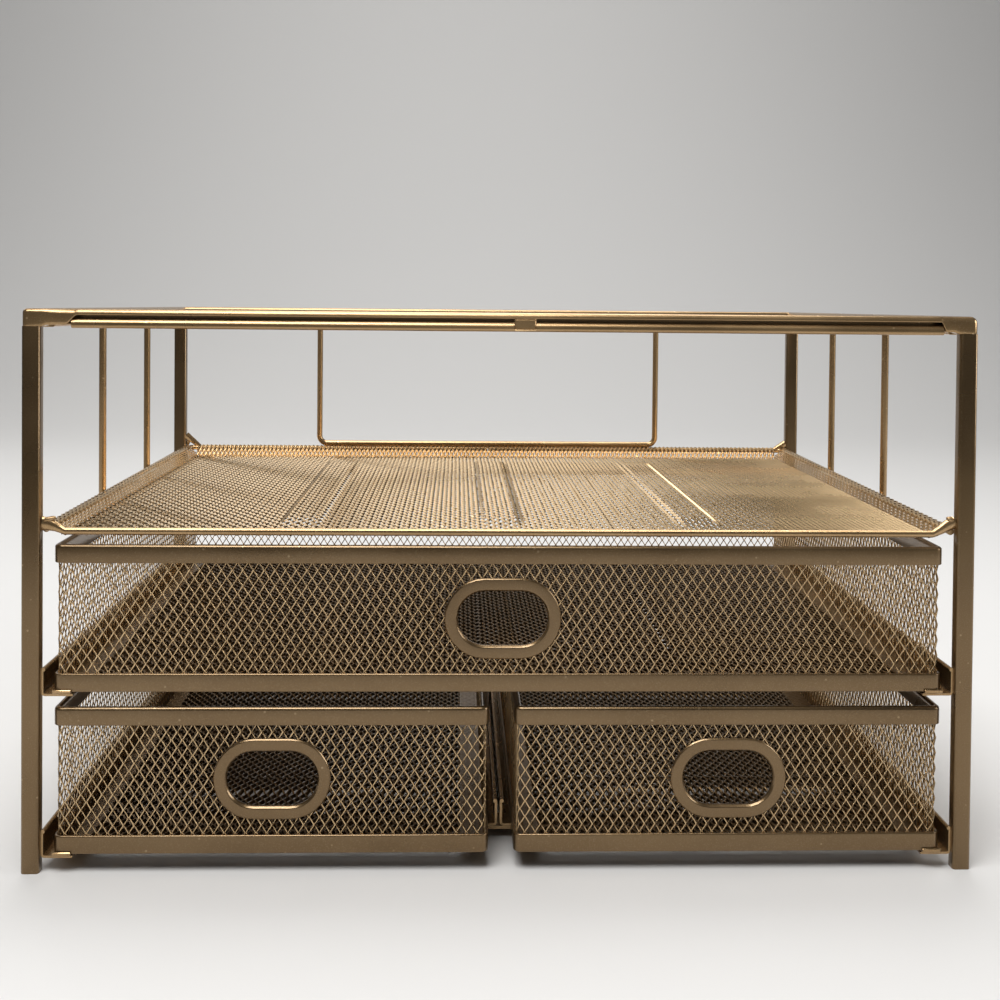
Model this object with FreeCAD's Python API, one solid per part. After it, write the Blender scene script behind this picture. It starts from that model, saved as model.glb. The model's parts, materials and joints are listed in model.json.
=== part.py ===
import FreeCAD, Part
import math
import os

# Desk organizer in painted steel wire and expanded metal: an open letter tray with guard wires on top,
# one wide drawer below it and two half-width drawers side by side at the bottom.
# Origin: centre of the footprint on the desk. +X to the user's right, +Y to the back, +Z up. Millimetres.

# Overall frame
width = 340.0            # over the posts
depth = 240.0            # over the posts
height = 200.0           # desk to the top of the rail

# Corner posts, small rectangular tube
post_width = 6.5
post_depth = 5.0
post_wall = 0.8
post_edge = 0.9          # bevel of the long edges

# Top rail, a strip rolled into a tube that stays open along its outer face
rail_height = 6.8
rail_width = 6.5
rail_sheet = 0.8
rail_round = 1.8         # long edges of the rolled section, slotted side
rail_far_bevel = 0.7     # and the other side
rail_upper_lip = 2.2     # face above the slot
rail_slot = 1.6
rail_pressed_height = 6.2    # section pressed flat round each corner
rail_pressed_length = 18.0   # from the outer corner along each side
rail_corner_radius = 4.0     # in plan
rail_pressed_bevel = 1.6     # upper outer edge of the pressed corner
rail_seam = 0.4          # gap between the two ends of the rolled strip
seam_block_width = 7.8
seam_block_offset = 7.0  # to the right of the centre line
seam_block_play = 0.05   # to the rail, all round
seam_block_bevel = 0.4

# Round wire and rod, as many-sided lofts
rod_sides = 12
bend_steps = 3           # straight steps in each bend

# Guard wires, bent into a U and welded under the rail
guard_radius = 1.5
guard_bend = 4.0
side_guard_span = 74.0   # between the legs' centre lines
side_guard_foot = 119.6  # centre of the wire's lower run, under the top of the tray's rod
rear_guard_span = 183.0

# Letter tray: a rod round the edge and one sheet of expanded metal
rim_radius = 1.3
rim_bend = 3.2
rim_front_level = 121.2  # centre of the rod at the front, where paper slides in
rim_side_level = 122.0   # where it starts back from the front posts
rim_level = 123.9        # and along the back
rim_rise_run = 6.4       # run of the slanted ends of the front rod
rim_front_inset = 3.0    # rod centre behind the posts' front faces
rim_rear_inset = 3.3
rim_joint = 0.3          # butt joint of the rod at the back
weld_length = 4.0
weld_height = 1.6        # up the post from the rod
tray_fold_inset = 5.0    # floor's fold line inside the rod's centre line
tray_lip_gap = 0.2
tray_lip_start = 5.2     # side lips start this far behind the floor's front edge

# Expanded metal, drawn at a wider pitch than the real 3.8 by 5.7 with the same open share
mesh_thickness = 0.6
mesh_opening = 0.79      # width of an opening, as a share of its cell
mesh_border = 1.6
front_cell = 26.0        # widths of the cells
wall_cell = 52.0
wide_floor_cell = 45.0
half_floor_cell = 28.0
wall_rows = 1            # cells one above the other
floor_rows = 2

# Pressed beads that stiffen the floors
bead_width = 16.5
bead_height = 1.0
bead_slope = 1.5         # width of a bead's slanted side
tray_bead_pitch = 75.5
tray_bead_end = 17.0     # floor left flat before and behind a bead
drawer_bead_end = 15.0
cross_bead_offset = 60.0 # half-width drawers: beads before and behind the middle

# Runners, L-section strip with a rolled upper edge
runner_sheet = 0.9
runner_height = 10.2
runner_width = 11.2
runner_bend = 1.4        # outer radius of the fold
runner_roll = 0.75       # radius of the rolled edge
runner_front_inset = 2.0
runner_rear_inset = 0.6
runner_stop = 5.0        # rear end of the flange turned up as a stop
lower_runner_level = 5.7 # top of the lower flanges
tier_pitch = 57.8
centre_runner_inset = 28.0   # front end behind the posts' front faces
centre_runner_gap = 1.0  # between the two webs

# Cross strips under the lower runners
strip_width = 12.0
strip_thickness = 1.2
rear_strip_inset = 14.0

# Drawers
drawer_height = 52.3
drawer_front_inset = 1.0
drawer_side_clearance = 3.5  # drawer to the runner's web
drawer_centre_clearance = 3.1
drawer_stop_clearance = 0.3
slide_clearance = 0.3    # under the glides
drawer_corner = 3.0      # plan radius of the rims
rim_face = 6.5           # height of the folded strips
rim_sheet = 0.8
rim_gap = 1.0            # room for the mesh inside the folded strip
rim_top_bevel = 0.8      # the fold along the upper edge
bottom_flange = 10.0     # from the drawer's outer face
floor_play = 1.0         # floor's edge to the strip round it
mesh_play = 0.2          # mesh to the folded strip, each side
glide_width = 6.5
glide_sheet = 0.6
glide_nose = 0.8         # turned-up front end, ahead of the rim
glide_nose_height = 1.5
glide_toe = 0.4          # bevel under the nose

# Oval finger ring on each front
ring_length = 41.8
ring_height = 28.9
ring_face = 4.7
ring_sheet = 0.9
ring_sleeve = 0.8        # wall of the sleeve through the mesh
ring_sleeve_reach = 0.7  # behind the mesh
ring_play = 0.15
wide_ring_level = 26.2   # centre above the drawer's underside
half_ring_level = 26.4

smallest_round = 0.5     # a smaller inside corner is left square

front = -depth / 2.0
back = depth / 2.0
wall_hidden = rim_face - rim_sheet   # walls stay solid behind the strips
floor_hidden = bottom_flange - rim_sheet - floor_play    # and floors under their flange
post_inner = width / 2.0 - post_width
post_top = height - rail_pressed_height
rail_underside = height - rail_height
up = FreeCAD.Vector(0, 0, 1)
near = 0.01              # for picking edges and points


def vec(x, y, z):
    return FreeCAD.Vector(x, y, z)


def block(x0, x1, y0, y1, z0, z1):
    return Part.makeBox(x1 - x0, y1 - y0, z1 - z0, vec(x0, y0, z0))


def plate(x0, x1, y0, y1, radius, z0, z1):
    """Upright block with rounded vertical edges, square where hardly any radius is left."""
    body = block(x0, x1, y0, y1, z0, z1)
    if radius < smallest_round:
        return body
    upright = [e for e in body.Edges if abs(e.tangentAt(e.FirstParameter).z) > 0.9]
    return body.makeFillet(radius, upright)


def frame_ring(x0, x1, y0, y1, radius, outer, inner, z0, z1):
    """Rectangular hoop between two insets from a rounded outline."""
    hoop = plate(x0 + outer, x1 - outer, y0 + outer, y1 - outer, radius - outer, z0, z1)
    hole = plate(x0 + inner, x1 - inner, y0 + inner, y1 - inner, radius - inner, z0 - 1, z1 + 1)
    return hoop.cut(hole)


def turned(shape, angle, x=0.0, y=0.0, z=0.0):
    """Copy of a shape turned about the vertical and moved."""
    copy = shape.copy()
    copy.rotate(vec(0, 0, 0), up, angle)
    copy.translate(vec(x, y, z))
    return copy


def bent_path(points, bends):
    """Open wire of straight runs joined by tangent arcs; one bend radius for each inner point."""
    edges = []
    start = points[0]
    for corner, following, bend in zip(points[1:-1], points[2:], bends):
        into = (corner - start).normalize()
        out = (following - corner).normalize()
        half_turn = into.getAngle(out) / 2.0
        reach = bend * math.tan(half_turn)
        arc_start = corner - into * reach
        arc_end = corner + out * reach
        inward = (out - into).normalize()
        middle = corner + inward * (bend / math.cos(half_turn) - bend)
        edges.append(Part.LineSegment(start, arc_start).toShape())
        edges.append(Part.Arc(arc_start, middle, arc_end).toShape())
        start = arc_end
    edges.append(Part.LineSegment(start, points[-1]).toShape())
    return Part.Wire(edges)


def rod_section(centre, along, across, radius):
    """Outline of a rod square to its run; across is a direction that the run never takes."""
    side = along.cross(across).normalize()
    over = side.cross(along).normalize()
    corners = []
    for i in range(rod_sides):
        angle = 2 * math.pi * i / rod_sides
        corners.append(centre + side * (radius * math.cos(angle)) + over * (radius * math.sin(angle)))
    return Part.makePolygon(corners + corners[:1])


def rod(points, bend, radius, across):
    """Rod along a bent path, lofted straight from section to section."""
    sections = []
    for edge in bent_path(points, [bend] * (len(points) - 2)).Edges:
        first = edge.FirstParameter
        steps = bend_steps if isinstance(edge.Curve, Part.Circle) else 1
        for step in range(steps):
            at = first + (edge.LastParameter - first) * step / steps
            sections.append(rod_section(edge.valueAt(at), edge.tangentAt(at), across, radius))
    sections.append(rod_section(points[-1], points[-1] - points[-2], across, radius))
    return Part.makeLoft(sections, True, True)


# Frame

def post(side, end):
    """Corner tube, plain cut at the foot, under the pressed corner of the rail."""
    x = side * (width - post_width) / 2.0
    y = end * (depth - post_depth) / 2.0
    half_x = post_width / 2.0
    half_y = post_depth / 2.0
    tube = block(x - half_x, x + half_x, y - half_y, y + half_y, 0, post_top)
    upright = [e for e in tube.Edges if e.Length > post_top / 2.0]
    tube = tube.makeChamfer(post_edge, upright)
    half_x -= post_wall
    half_y -= post_wall
    bore = block(x - half_x, x + half_x, y - half_y, y + half_y, -1, post_top + 1)
    return tube.cut(bore)


def rail_run(length):
    """Rolled section along X, outer face on y = 0, underside on z = 0."""
    half = length / 2.0
    body = block(-half, half, 0, rail_width, 0, rail_height)
    long_edges = [e for e in body.Edges if abs(e.tangentAt(e.FirstParameter).x) > 0.9]
    body = body.makeFillet(rail_round, [e for e in long_edges if e.CenterOfMass.y < near])
    far_edges = [e for e in body.Edges if e.CenterOfMass.y > rail_width - near and e.Length > half]
    body = body.makeChamfer(rail_far_bevel, far_edges)
    hollow = block(-half, half, rail_sheet, rail_width - rail_sheet, rail_sheet, rail_height - rail_sheet)
    slot_top = rail_height - rail_upper_lip
    slot = block(-half, half, -1, rail_width / 2.0, slot_top - rail_slot, slot_top)
    return body.cut(hollow).cut(slot)


def rail_corner():
    """Corner pressed flat, outer corner on the origin, legs along +X and +Y, underside on z = 0."""
    reach = rail_pressed_length
    slab = block(0, 2 * reach, 0, 2 * reach, 0, rail_pressed_height)
    upright = [e for e in slab.Edges if max(e.CenterOfMass.x, e.CenterOfMass.y) < near]
    slab = slab.makeFillet(rail_corner_radius, upright)
    upper = [e for e in slab.Edges if e.CenterOfMass.z > rail_pressed_height - near
             and min(e.CenterOfMass.x, e.CenterOfMass.y) < rail_corner_radius / 2.0]
    slab = slab.makeChamfer(rail_pressed_bevel, upper)
    legs = block(0, reach, 0, rail_width, 0, rail_pressed_height)
    legs = legs.fuse(block(0, rail_width, 0, reach, 0, rail_pressed_height))
    return slab.common(legs).removeSplitter()


def top_rail():
    """Loop round the top: four rolled runs and four pressed corners, with the strip's seam at the front."""
    front_run = turned(rail_run(width - 2 * rail_pressed_length), 0, 0, front, rail_underside)
    lip_top = rail_underside + rail_height - rail_upper_lip
    half_block = seam_block_width / 2.0
    notch = block(seam_block_offset - half_block, seam_block_offset + half_block, front - 1,
                  front + rail_width / 2.0, rail_underside + rail_sheet, lip_top)
    seam = block(seam_block_offset, seam_block_offset + rail_seam, front - 1, front + rail_width + 1,
                 rail_underside - 1, height + 1)
    loop = front_run.cut(notch).cut(seam)
    pieces = [turned(rail_run(width - 2 * rail_pressed_length), 180, 0, back, rail_underside)]
    side_run = rail_run(depth - 2 * rail_pressed_length)
    pieces.append(turned(side_run, 90, width / 2.0, 0, rail_underside))
    pieces.append(turned(side_run, -90, -width / 2.0, 0, rail_underside))
    corner = rail_corner()
    pieces.append(turned(corner, 0, -width / 2.0, front, post_top))
    pieces.append(turned(corner, 90, width / 2.0, front, post_top))
    pieces.append(turned(corner, 180, width / 2.0, back, post_top))
    pieces.append(turned(corner, -90, -width / 2.0, back, post_top))
    return loop.multiFuse(pieces).removeSplitter()


def seam_block():
    """Small block that closes the slot where the rail's ends meet."""
    half = seam_block_width / 2.0 - seam_block_play
    base = rail_underside + rail_sheet + seam_block_play
    top = height - rail_upper_lip - seam_block_play
    body = block(seam_block_offset - half, seam_block_offset + half, front, front + rail_width / 2.0, base, top)
    face_edges = [e for e in body.Edges if abs(e.CenterOfMass.y - front) < near]
    return body.makeChamfer(seam_block_bevel, face_edges)


def guard(span, foot):
    """U-shaped wire in the XZ plane, its ends against the rail's underside."""
    half = span / 2.0
    points = [vec(-half, 0, rail_underside), vec(-half, 0, foot), vec(half, 0, foot), vec(half, 0, rail_underside)]
    return rod(points, guard_bend, guard_radius, vec(0, 1, 0))


def side_guard(side):
    """Wire outside the tray's rod, its legs against it."""
    return turned(guard(side_guard_span, side_guard_foot), 90, side * (post_inner + guard_radius))


def rear_guard():
    """Wire on top of the tray's rear rod."""
    return turned(guard(rear_guard_span, rim_level + rim_radius + guard_radius), 0, 0, back - rim_rear_inset)


# Letter tray

def side_rod_level(y):
    """Height of the rod's centre along the sides, rising to the back."""
    y_front = front + rim_front_inset
    y_back = back - rim_rear_inset
    return rim_side_level + (rim_level - rim_side_level) * (y - y_front) / (y_back - y_front)


def tray_rim():
    """Edge rod: low along the front, stepped up to the posts, rising along the sides, one butt joint at the back."""
    x = post_inner - rim_radius
    low_x = x - rim_rise_run
    y_front = front + rim_front_inset
    y_back = back - rim_rear_inset
    half_joint = rim_joint / 2.0
    points = [
        vec(half_joint, y_back, rim_level),
        vec(x, y_back, rim_level),
        vec(x, y_front, rim_side_level),
        vec(low_x, y_front, rim_front_level),
        vec(-low_x, y_front, rim_front_level),
        vec(-x, y_front, rim_side_level),
        vec(-x, y_back, rim_level),
        vec(-half_joint, y_back, rim_level),
    ]
    return rod(points, rim_bend, rim_radius, up)


def tray_welds():
    """Fillet weld at each post, in the corner between the post and the top of the rod."""
    beads = []
    for side in (-1, 1):
        for end, inset, level in ((-1, rim_front_inset, rim_side_level), (1, rim_rear_inset, rim_level)):
            y = end * (depth / 2.0 - inset) - weld_length / 2.0
            base = level + rim_radius
            corners = [
                vec(side * (post_inner - rim_radius), y, base),
                vec(side * post_inner, y, base),
                vec(side * post_inner, y, base + weld_height),
            ]
            section = Part.Face(Part.makePolygon(corners + corners[:1]))
            beads.append(section.extrude(vec(0, weld_length, 0)))
    return Part.makeCompound(beads)


# Expanded metal

def diamond_wires(x0, x1, y0, y1, cell, rows):
    """Diamond openings over a rectangle in the XY plane, long in Y, with half diamonds along its edges."""
    columns = round((x1 - x0) / cell)
    half_x = (x1 - x0) / columns / 2.0
    half_y = (y1 - y0) / rows / 2.0
    reach_x = half_x * mesh_opening
    reach_y = half_y * mesh_opening
    wires = []
    for i in range(2 * columns + 1):
        for j in range(i % 2, 2 * rows + 1, 2):
            x = x0 + i * half_x
            y = y0 + j * half_y
            tips = [(x - reach_x, y), (x, y - reach_y), (x + reach_x, y), (x, y + reach_y)]
            kept = [tip for tip in tips if x0 - near < tip[0] < x1 + near and y0 - near < tip[1] < y1 + near]
            if len(kept) == 2:
                kept.append((x, y))
            corners = [vec(px, py, 0) for px, py in kept]
            wires.append(Part.makePolygon(corners + corners[:1]))
    return wires


def mesh_sheet(length, span, cell, rows, side_border=mesh_border, end_border=mesh_border):
    """Flat expanded metal, corner on the origin; the borders along X = 0 and Y = 0 and across from them stay solid."""
    outline = Part.makePolygon([vec(0, 0, 0), vec(length, 0, 0), vec(length, span, 0), vec(0, span, 0), vec(0, 0, 0)])
    holes = diamond_wires(side_border, length - side_border, end_border, span - end_border, cell, rows)
    face = Part.makeFace([outline] + holes, "Part::FaceMakerBullseye")
    return face.extrude(vec(0, 0, mesh_thickness))


def mesh_wall(length, height_up, cell):
    """Expanded metal standing along +X, outer face on y = 0, openings upright."""
    wall = mesh_sheet(length, height_up, cell, wall_rows, end_border=wall_hidden)
    wall.rotate(vec(0, 0, 0), vec(1, 0, 0), 90)
    wall.translate(vec(0, mesh_thickness, 0))
    return wall


def bead(length, breadth):
    """Pressed ridge centred on the origin, on z = 0, with slanted sides and ends."""
    wires = []
    for inset, z in ((0.0, 0.0), (bead_slope, bead_height)):
        half_x = length / 2.0 - inset
        half_y = breadth / 2.0 - inset
        corners = [vec(-half_x, -half_y, z), vec(half_x, -half_y, z), vec(half_x, half_y, z), vec(-half_x, half_y, z)]
        wires.append(Part.makePolygon(corners + corners[:1]))
    return Part.makeLoft(wires, True, True)


def tray_floor():
    """Sheet under the rod, with three beads front to back and lips turned up to the rod."""
    floor_top = rim_front_level - rim_radius
    floor_base = floor_top - mesh_thickness
    fold_x = post_inner - rim_radius - tray_fold_inset
    y_front = front + rim_front_inset - rim_radius
    y_back = back - rim_rear_inset - tray_fold_inset
    sheet = mesh_sheet(2 * fold_x, y_back - y_front, wide_floor_cell, floor_rows)
    sheet.translate(vec(-fold_x, y_front, floor_base))
    extras = []
    length = y_back - y_front - 2 * tray_bead_end
    for column in (-1, 0, 1):
        ridge = turned(bead(length, bead_width), 90, column * tray_bead_pitch, (y_front + y_back) / 2.0, floor_top)
        extras.append(ridge)
    extras.extend(tray_lips(fold_x, y_front, y_back, floor_base))
    return sheet.multiFuse(extras).removeSplitter()


def tray_lips(fold_x, y_front, y_back, floor_base):
    """Slanted strips from the floor's folds to the underside of the rod."""
    lips = []
    for side in (-1, 1):
        ends = []
        for y in (y_front + tray_lip_start, y_back):
            corners = [vec(side * x, y, floor_base + z) for x, z in lip_section(fold_x, side_rod_level(y) - floor_base)]
            ends.append(Part.makePolygon(corners + corners[:1]))
        lips.append(Part.makeLoft(ends, True, True))
    corners = [vec(-fold_x, y, floor_base + z) for y, z in lip_section(y_back, rim_level - floor_base)]
    strip = Part.Face(Part.makePolygon(corners + corners[:1]))
    lips.append(strip.extrude(vec(2 * fold_x, 0, 0)))
    return lips


def lip_section(fold, rod_height):
    """Section of a turned-up strip, outwards and up from the floor's underside at its fold."""
    tip = fold + tray_fold_inset - rim_radius - tray_lip_gap
    rise = rod_height - mesh_thickness
    return [
        (fold - mesh_thickness, 0),
        (fold, 0),
        (tip, rise),
        (tip - mesh_thickness, rise + mesh_thickness),
        (fold - mesh_thickness, mesh_thickness),
    ]


# Runners and cross strips

def runner(y0, y1):
    """L-strip along Y for a drawer on its +X side: web's outer face on x = 0, flange's top on z = 0."""
    web_top = runner_height - runner_sheet - runner_roll
    web = block(0, runner_sheet, y0, y1, -runner_sheet, web_top)
    flange = block(0, runner_width, y0, y1, -runner_sheet, 0)
    angle = web.fuse(flange).removeSplitter()
    fold = [e for e in angle.Edges if abs(e.CenterOfMass.x) < near and e.CenterOfMass.z < -runner_sheet + near
            and e.Length > (y1 - y0) / 2.0]
    angle = angle.makeFillet(runner_bend, fold)
    roll = Part.makeCylinder(runner_roll, y1 - y0, vec(runner_roll, y0, web_top), vec(0, 1, 0))
    stop = block(runner_sheet + runner_bend, runner_width, y1 - runner_sheet, y1, -runner_sheet, runner_stop)
    return angle.multiFuse([roll, stop]).removeSplitter()


def side_runner(side, tier):
    """Runner on the inner faces of a pair of posts."""
    strip = runner(front + runner_front_inset, back - runner_rear_inset)
    strip.translate(vec(-post_inner, 0, lower_runner_level + tier * tier_pitch))
    if side > 0:
        strip = strip.mirror(vec(0, 0, 0), vec(1, 0, 0))
    return strip


def centre_runner(side):
    """One of two runners back to back between the half-width drawers."""
    strip = runner(front + centre_runner_inset, back - runner_rear_inset)
    strip.translate(vec(centre_runner_gap / 2.0, 0, lower_runner_level))
    if side < 0:
        strip = strip.mirror(vec(0, 0, 0), vec(1, 0, 0))
    return strip


def cross_strip(y0):
    """Flat strip under the lower flanges that carries the centre runners."""
    top = lower_runner_level - runner_sheet
    end = post_inner - runner_bend
    return block(-end, end, y0, y0 + strip_width, top - strip_thickness, top)


# Drawers

def stadium(length, across, y0, y1, x, z):
    """Upright oval slab: two half rounds joined by straight runs, thick along Y."""
    radius = across / 2.0
    half = length / 2.0 - radius
    left = vec(x - half, y0, z)
    right = vec(x + half, y0, z)
    offset = vec(0, 0, radius)
    side = vec(radius, 0, 0)
    edges = [
        Part.LineSegment(left + offset, right + offset).toShape(),
        Part.Arc(right + offset, right + side, right - offset).toShape(),
        Part.LineSegment(right - offset, left - offset).toShape(),
        Part.Arc(left - offset, left - side, left + offset).toShape(),
    ]
    return Part.Face(Part.Wire(edges)).extrude(vec(0, y1 - y0, 0))


def oval_hoop(outer_margin, inner_margin, y0, y1, x, z):
    """Oval hoop; margins are taken outwards from the finger hole."""
    hole_length = ring_length - 2 * ring_face
    hole_height = ring_height - 2 * ring_face
    outer = stadium(hole_length + 2 * outer_margin, hole_height + 2 * outer_margin, y0, y1, x, z)
    inner = stadium(hole_length + 2 * inner_margin, hole_height + 2 * inner_margin, y0 - 1, y1 + 1, x, z)
    return outer.cut(inner)


def finger_ring(x, y_mesh, z):
    """Pressed oval grommet: face before the mesh and a sleeve through it."""
    face = oval_hoop(ring_face, 0.0, y_mesh - ring_sheet, y_mesh, x, z)
    sleeve = oval_hoop(ring_sleeve, 0.0, y_mesh, y_mesh + mesh_thickness + ring_sleeve_reach, x, z)
    return face.fuse(sleeve).removeSplitter()


def top_rim(x0, x1, y0, y1, z1):
    """Strip folded over the upper edge of the mesh, all the way round."""
    thickness = 2 * rim_sheet + rim_gap
    hoop = frame_ring(x0, x1, y0, y1, drawer_corner, 0.0, thickness, z1 - rim_face, z1)
    upper = [e for e in hoop.Edges if e.CenterOfMass.z > z1 - near]
    hoop = hoop.makeChamfer(rim_top_bevel, upper)
    room = frame_ring(x0, x1, y0, y1, drawer_corner, rim_sheet, rim_sheet + rim_gap, z1 - rim_face - 1, z1 - rim_sheet)
    return hoop.cut(room)


def bottom_rim(x0, x1, y0, y1, z0):
    """Strip round the foot of the mesh, its flange turned in between the floor and the walls."""
    band = frame_ring(x0, x1, y0, y1, drawer_corner, 0.0, rim_sheet, z0, z0 + rim_face)
    base = z0 + mesh_thickness
    flange = frame_ring(x0, x1, y0, y1, drawer_corner, 0.0, bottom_flange, base, base + rim_sheet)
    return band.fuse(flange).removeSplitter()


def mesh_corner(x, y, turn, radius, z0, z1):
    """Quarter-round of mesh that takes a wall round a corner; x, y is the centre of the bend."""
    outer = Part.makeCylinder(radius, z1 - z0, vec(0, 0, z0), up, 90)
    inner = Part.makeCylinder(radius - mesh_thickness, z1 - z0, vec(0, 0, z0), up, 90)
    return turned(outer.cut(inner), turn, x, y)


def end_wall(x0, x1, y_face, facing, z0, z1, cell):
    """Front (facing -1) or back (facing 1) wall with its two rounded corners."""
    inset = rim_sheet + mesh_play
    radius = drawer_corner - inset
    left = x0 + drawer_corner
    right = x1 - drawer_corner
    wall = mesh_wall(right - left, z1 - z0, cell)
    outer = y_face - facing * inset
    wall.translate(vec(left, outer if facing < 0 else outer - mesh_thickness, z0))
    centre = y_face - facing * drawer_corner
    turns = (180, 270) if facing < 0 else (90, 0)
    corners = [
        mesh_corner(left, centre, turns[0], radius, z0, z1),
        mesh_corner(right, centre, turns[1], radius, z0, z1),
    ]
    return wall.multiFuse(corners).removeSplitter()


def front_wall(x0, x1, y0, z0, z1, ring_z):
    """Front wall with a plain seat and a hole for the finger ring."""
    wall = end_wall(x0, x1, y0, -1, z0, z1, front_cell)
    x = (x0 + x1) / 2.0
    y = y0 + rim_sheet + mesh_play
    seat = oval_hoop(ring_face, ring_sleeve + ring_play, y, y + mesh_thickness, x, ring_z)
    hole_length = ring_length - 2 * ring_face + 2 * (ring_sleeve + ring_play)
    hole_height = ring_height - 2 * ring_face + 2 * (ring_sleeve + ring_play)
    hole = stadium(hole_length, hole_height, y - 1, y + mesh_thickness + 1, x, ring_z)
    return wall.cut(hole).fuse(seat).removeSplitter()


def side_wall(x_face, facing, y0, y1, z0, z1):
    """Straight side wall between the rounded corners."""
    wall = mesh_wall(y1 - y0 - 2 * drawer_corner, z1 - z0, wall_cell)
    wall.rotate(vec(0, 0, 0), up, 90)
    inset = rim_sheet + mesh_play
    shift = x_face + inset + mesh_thickness if facing < 0 else x_face - inset
    wall.translate(vec(shift, y0 + drawer_corner, z0))
    return wall


def drawer_floor(x0, x1, y0, y1, z, cell, beads):
    """Sheet under the bottom flange; beads lists each ridge's centre, turn and length."""
    inset = rim_sheet + floor_play
    sheet = mesh_sheet(x1 - x0 - 2 * inset, y1 - y0 - 2 * inset, cell, floor_rows, floor_hidden, floor_hidden)
    sheet.translate(vec(x0 + inset, y0 + inset, z))
    ridges = [turned(bead(length, bead_width), turn, x, y, z + mesh_thickness) for x, y, turn, length in beads]
    return sheet.multiFuse(ridges).removeSplitter()


def glide(x0, y0, y1, z):
    """Flat strip that slides on a runner."""
    return block(x0, x0 + glide_width, y0, y1, z, z + glide_sheet)


def nosed_glide(x0, y0, y1, z):
    """Glide with its front end turned up before the rim."""
    y_nose = y0 - glide_nose
    nose = block(x0, x0 + glide_width, y_nose, y_nose + glide_sheet, z, z + glide_nose_height)
    strip = glide(x0, y_nose, y1, z).fuse(nose).removeSplitter()
    low = [e for e in strip.Edges if abs(e.CenterOfMass.y - y_nose) < near and e.CenterOfMass.z < z + near]
    return strip.makeChamfer(glide_toe, low)


def drawer(name, x0, x1, tier, ring_level, cross_beads, inner_side):
    """All pieces of one drawer; inner_side is the side that rides on a centre runner, 0 for none."""
    y0 = front + drawer_front_inset
    y1 = back - runner_rear_inset - runner_sheet - drawer_stop_clearance
    sole = lower_runner_level + tier * tier_pitch + slide_clearance
    z0 = sole + glide_sheet
    z1 = z0 + drawer_height
    wall_base = z0 + mesh_thickness + rim_sheet
    wall_top = z1 - rim_sheet
    ring_z = z0 + ring_level
    middle_x = (x0 + x1) / 2.0
    middle_y = (y0 + y1) / 2.0
    if cross_beads:
        length = x1 - x0 - 2 * drawer_bead_end
        beads = [(middle_x, middle_y + end * cross_bead_offset, 0, length) for end in (-1, 1)]
    else:
        length = y1 - y0 - 2 * drawer_bead_end
        beads = [(middle_x + side * tray_bead_pitch, middle_y, 90, length) for side in (-1, 0, 1)]
    pieces = {
        "front_mesh": front_wall(x0, x1, y0, wall_base, wall_top, ring_z),
        "back_mesh": end_wall(x0, x1, y1, 1, wall_base, wall_top, wall_cell),
        "left_mesh": side_wall(x0, -1, y0, y1, wall_base, wall_top),
        "right_mesh": side_wall(x1, 1, y0, y1, wall_base, wall_top),
        "floor_mesh": drawer_floor(x0, x1, y0, y1, z0, half_floor_cell if cross_beads else wide_floor_cell, beads),
        "top_rim": top_rim(x0, x1, y0, y1, z1),
        "bottom_rim": bottom_rim(x0, x1, y0, y1, z0),
        "finger_ring": finger_ring(middle_x, y0 + rim_sheet + mesh_play, ring_z),
    }
    for side, label in ((-1, "left_glide"), (1, "right_glide")):
        x = x0 if side < 0 else x1 - glide_width
        if side == inner_side:
            pieces[label] = glide(x, front + centre_runner_inset, y1, sole)
        else:
            pieces[label] = nosed_glide(x, y0, y1, sole)
    return {name + "_" + label: shape for label, shape in pieces.items()}


def build():
    nodes = {}
    for side, side_name in ((-1, "left"), (1, "right")):
        nodes["front_" + side_name + "_post"] = post(side, -1)
        nodes["rear_" + side_name + "_post"] = post(side, 1)
        nodes[side_name + "_guard_wire"] = side_guard(side)
        nodes["lower_" + side_name + "_runner"] = side_runner(side, 0)
        nodes["upper_" + side_name + "_runner"] = side_runner(side, 1)
        nodes["centre_" + side_name + "_runner"] = centre_runner(side)
    nodes["rear_guard_wire"] = rear_guard()
    nodes["top_rail"] = top_rail()
    nodes["rail_seam_block"] = seam_block()
    nodes["tray_rim_rod"] = tray_rim()
    nodes["tray_weld_beads"] = tray_welds()
    nodes["tray_floor_mesh"] = tray_floor()
    nodes["front_cross_strip"] = cross_strip(front + centre_runner_inset)
    nodes["rear_cross_strip"] = cross_strip(back - rear_strip_inset - strip_width)
    outer = post_inner - runner_sheet - drawer_side_clearance
    inner = centre_runner_gap / 2.0 + runner_sheet + drawer_centre_clearance
    nodes.update(drawer("wide_drawer", -outer, outer, 1, wide_ring_level, False, 0))
    nodes.update(drawer("left_drawer", -outer, -inner, 0, half_ring_level, True, 1))
    nodes.update(drawer("right_drawer", inner, outer, 0, half_ring_level, True, -1))
    return nodes


os.makedirs("parts", exist_ok=True)
for node, shape in build().items():
    shape.exportStep("parts/" + node + ".step")
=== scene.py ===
import json
import math

import bmesh
import bpy
import numpy as np
from mathutils import Matrix, Vector


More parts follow.
